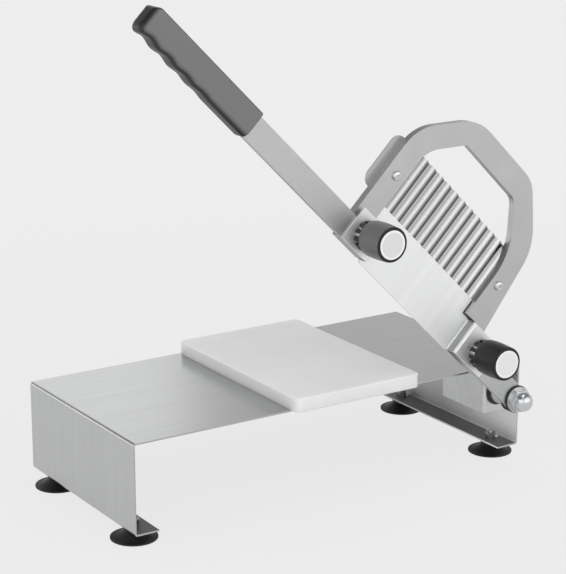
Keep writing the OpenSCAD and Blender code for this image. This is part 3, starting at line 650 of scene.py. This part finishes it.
def white_board():
    finish = moulded_plastic("white_board", (0.78, 0.79, 0.78), (0.81, 0.82, 0.81), (0.45, 0.6))
    shader = finish.node_tree.nodes["Principled BSDF"]
    shader.inputs["Subsurface Weight"].default_value = GLOW_SHARE
    shader.inputs["Subsurface Radius"].default_value = (1, 1, 1)
    shader.inputs["Subsurface Scale"].default_value = GLOW_DEPTH
    return finish


give_finish("cutting_board", white_board())
print("light travels about", round(GLOW_DEPTH / MM), "mm inside the board")

# %% [markdown]
# The washers on the pivot are black nylon, which lets the lever turn with a steady drag. The cups are soft
# rubber that holds on a smooth table. Both are nearly black, and the rubber is darker with a wider spread
# of shine, because it is pressed in a rougher mould.

# %% Nylon washers and rubber cups
nylon_finish = moulded_plastic("black_nylon", (0.02, 0.02, 0.02), (0.03, 0.03, 0.03), (0.5, 0.6))
for name in ("inner_friction_washer", "outer_friction_washer", "spacer_washer"):
    give_finish(name, nylon_finish)
rubber_finish = moulded_plastic("black_rubber", (0.008, 0.008, 0.008), (0.014, 0.014, 0.014), (0.42, 0.6))
for name in ("foot_front_left", "foot_front_right", "foot_rear_left", "foot_rear_right"):
    give_finish(name, rubber_finish)
print("washers and cups finished")

# %% [markdown]
# Black plastic gets a painted grey sheen on its broad faces. On the grip these are the flat sides, while
# the edges and finger hollows keep the plastic's black. On a knob it is the barrel, while the ring round the
# disc and the notched end by the plate stay black. The upper knob gets a lighter painted sheen than the lower
# one, whose sheen is almost black. The surface direction tells most of this apart, because the grip's flat
# sides and the knobs' rings face straight to the front, and the barrels face away from the knobs' axis. The
# notched end is told by its nearness to the plate. Both belong to the piece and move with it, so the painted
# sheen stays where it is.

# %% Painted sheen on the grip and the knobs
# The grey colours are painted sheen on black plastic; the black is the plastic's own colour.
PLASTIC_BLACK = (0.012, 0.012, 0.013)
GRIP_PAINTED_SHEEN = (0.165, 0.165, 0.167)
UPPER_KNOB_PAINTED_SHEEN = (0.14, 0.14, 0.141)
LOWER_KNOB_PAINTED_SHEEN = (0.01, 0.01, 0.011)
KNOB_GLOSS = 0.3
NOTCHED_PART = 10 * MM


def facing_front(finish):
    made = finish.node_tree.nodes
    links = finish.node_tree.links
    place = made.new("ShaderNodeTexCoord")
    flat = made.new("ShaderNodeVectorMath")
    flat.operation = "ABSOLUTE"
    links.new(place.outputs["Normal"], flat.inputs[0])
    parts = made.new("ShaderNodeSeparateXYZ")
    links.new(flat.outputs["Vector"], parts.inputs[0])
    return parts.outputs["Y"]


def grip_painted_sheen():
    finish = moulded_surface("black_grip", GRIP_PAINTED_SHEEN, (0.34, 0.44))
    vary_colour(finish, facing_front(finish), PLASTIC_BLACK, GRIP_PAINTED_SHEEN, 0.7, 1.0)
    return finish


def part_without_sheen(finish, name):
    made = finish.node_tree.nodes
    links = finish.node_tree.links
    behind = made.new("ShaderNodeMath")
    behind.operation = "GREATER_THAN"
    behind.inputs[1].default_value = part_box(name)[1][1] - NOTCHED_PART
    links.new(place_along_y(finish), behind.inputs[0])
    either = made.new("ShaderNodeMath")
    either.operation = "MAXIMUM"
    links.new(behind.outputs[0], either.inputs[0])
    links.new(facing_front(finish), either.inputs[1])
    return either.outputs[0]


def knob_painted_sheen(name, sheen_colour):
    finish = moulded_surface("painted_sheen_" + name, sheen_colour, (0.3, 0.38))
    finish.node_tree.nodes["Principled BSDF"].inputs["Specular IOR Level"].default_value = KNOB_GLOSS
    vary_colour(finish, part_without_sheen(finish, name), sheen_colour, PLASTIC_BLACK, 0.25, 0.6)
    return finish


give_finish("grip", grip_painted_sheen())
give_finish("upper_knob", knob_painted_sheen("upper_knob", UPPER_KNOB_PAINTED_SHEEN))
give_finish("lower_knob", knob_painted_sheen("lower_knob", LOWER_KNOB_PAINTED_SHEEN))
print("grip and knobs finished")

# %% [markdown]
# The discs in the knobs are turned on a lathe. The tool leaves fine rings round the middle, and the rim gets
# a painted highlight as a brighter band. Both depend only on the distance from the disc's axis, so the
# material measures that distance and uses it twice: as rings in the relief, and as a step in the colour.

# %% Turned discs
PAINTED_HIGHLIGHT_RIM = 0.86
RIM_BLEND = 0.02
RINGS = 22
RING_RELIEF_MM = 0.003
RING_STRENGTH = 0.4
DISC_ROUGH = 0.4


def axis_distance(finish, name):
    low, high = [Vector(corner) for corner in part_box(name)]
    made = finish.node_tree.nodes
    links = finish.node_tree.links
    place = made.new("ShaderNodeTexCoord")
    shift = made.new("ShaderNodeVectorMath")
    shift.operation = "SUBTRACT"
    shift.inputs[1].default_value = (low + high) / 2
    links.new(place.outputs["Object"], shift.inputs[0])
    flat = made.new("ShaderNodeVectorMath")
    flat.operation = "MULTIPLY"
    flat.inputs[1].default_value = Vector((1, 0, 1)) / ((high.x - low.x) / 2)
    links.new(shift.outputs["Vector"], flat.inputs[0])
    away = made.new("ShaderNodeVectorMath")
    away.operation = "LENGTH"
    links.new(flat.outputs["Vector"], away.inputs[0])
    return away.outputs["Value"]


def turned_disc(name, dark, light):
    finish = new_finish(name + "_turned", light, DISC_ROUGH, metallic=1.0)
    away = axis_distance(finish, name)
    vary_colour(finish, away, dark, light, PAINTED_HIGHLIGHT_RIM - RIM_BLEND, PAINTED_HIGHLIGHT_RIM)
    made = finish.node_tree.nodes
    links = finish.node_tree.links
    turns = made.new("ShaderNodeMath")
    turns.operation = "MULTIPLY"
    turns.inputs[1].default_value = RINGS * math.tau
    links.new(away, turns.inputs[0])
    rings = made.new("ShaderNodeMath")
    rings.operation = "SINE"
    links.new(turns.outputs[0], rings.inputs[0])
    add_relief(finish, rings.outputs[0], RING_RELIEF_MM, RING_STRENGTH)
    return finish


# The bright rim is a painted highlight, and the lower disc's lighter face is painted light.
give_finish("upper_knob_disc", turned_disc("upper_knob_disc", (0.78, 0.78, 0.785), (0.96, 0.96, 0.965)))
give_finish("lower_knob_disc", turned_disc("lower_knob_disc", (0.88, 0.88, 0.885), (0.97, 0.97, 0.975)))
print("discs turned with", RINGS, "rings")

# %% [markdown]
# CAD solids have knife-sharp edges, and real ones never do: a sheared sheet is deburred, a moulded grip has
# a radius, a board is planed. A narrow bevel on every sharp edge catches a line of light, and that line is
# what makes metal look solid. The modifiers leave the CAD mesh as it is: one joins its split corners, one
# merges flat triangles, one bevels, and the last one shades large faces flat and bevels round.

# %% Soften the edges of every piece
EDGE_MM = {
    "bench_sheet": 0.25, "cutting_board": 0.6, "pivot_bracket": 0.35, "pivot_bar": 0.4, "handle_bar": 0.4,
    "bow_frame": 0.5, "thickness_plate": 0.25, "wave_blade": 0.06, "dome_nut": 0.3, "foot_nuts": 0.2,
    "blade_screws": 0.2, "upper_knob": 0.3, "lower_knob": 0.3, "upper_knob_disc": 0.2, "lower_knob_disc": 0.2,
    "steel_washer": 0.2, "outer_friction_washer": 0.2, "inner_friction_washer": 0.2,
}
EDGE_OTHER_MM = 0.12
EDGE_STEPS = 2
JOIN_MM = 0.002
FLAT_ANGLE = math.radians(1)
SHARP_ANGLE = math.radians(28)


def soften_edges(piece, width_mm):
    for face in piece.data.polygons:
        face.use_smooth = True
    weld = piece.modifiers.new("join_corners", "WELD")
    weld.merge_threshold = JOIN_MM * MM
    merge = piece.modifiers.new("merge_flats", "DECIMATE")
    merge.decimate_type = "DISSOLVE"
    merge.angle_limit = FLAT_ANGLE
    bevel = piece.modifiers.new("soft_edge", "BEVEL")
    bevel.width = width_mm * MM
    bevel.segments = EDGE_STEPS
    bevel.limit_method = "ANGLE"
    bevel.angle_limit = SHARP_ANGLE
    shade = piece.modifiers.new("even_shading", "WEIGHTED_NORMAL")
    shade.keep_sharp = False


for name, piece in nodes.items():
    soften_edges(piece, EDGE_MM.get(name, EDGE_OTHER_MM))
print("edges softened on", len(nodes), "pieces")

# %% [markdown]
# The standard view shows each colour as it is written, with no film look on top.

# %% Colours as written
bpy.context.scene.view_settings.view_transform = "Standard"
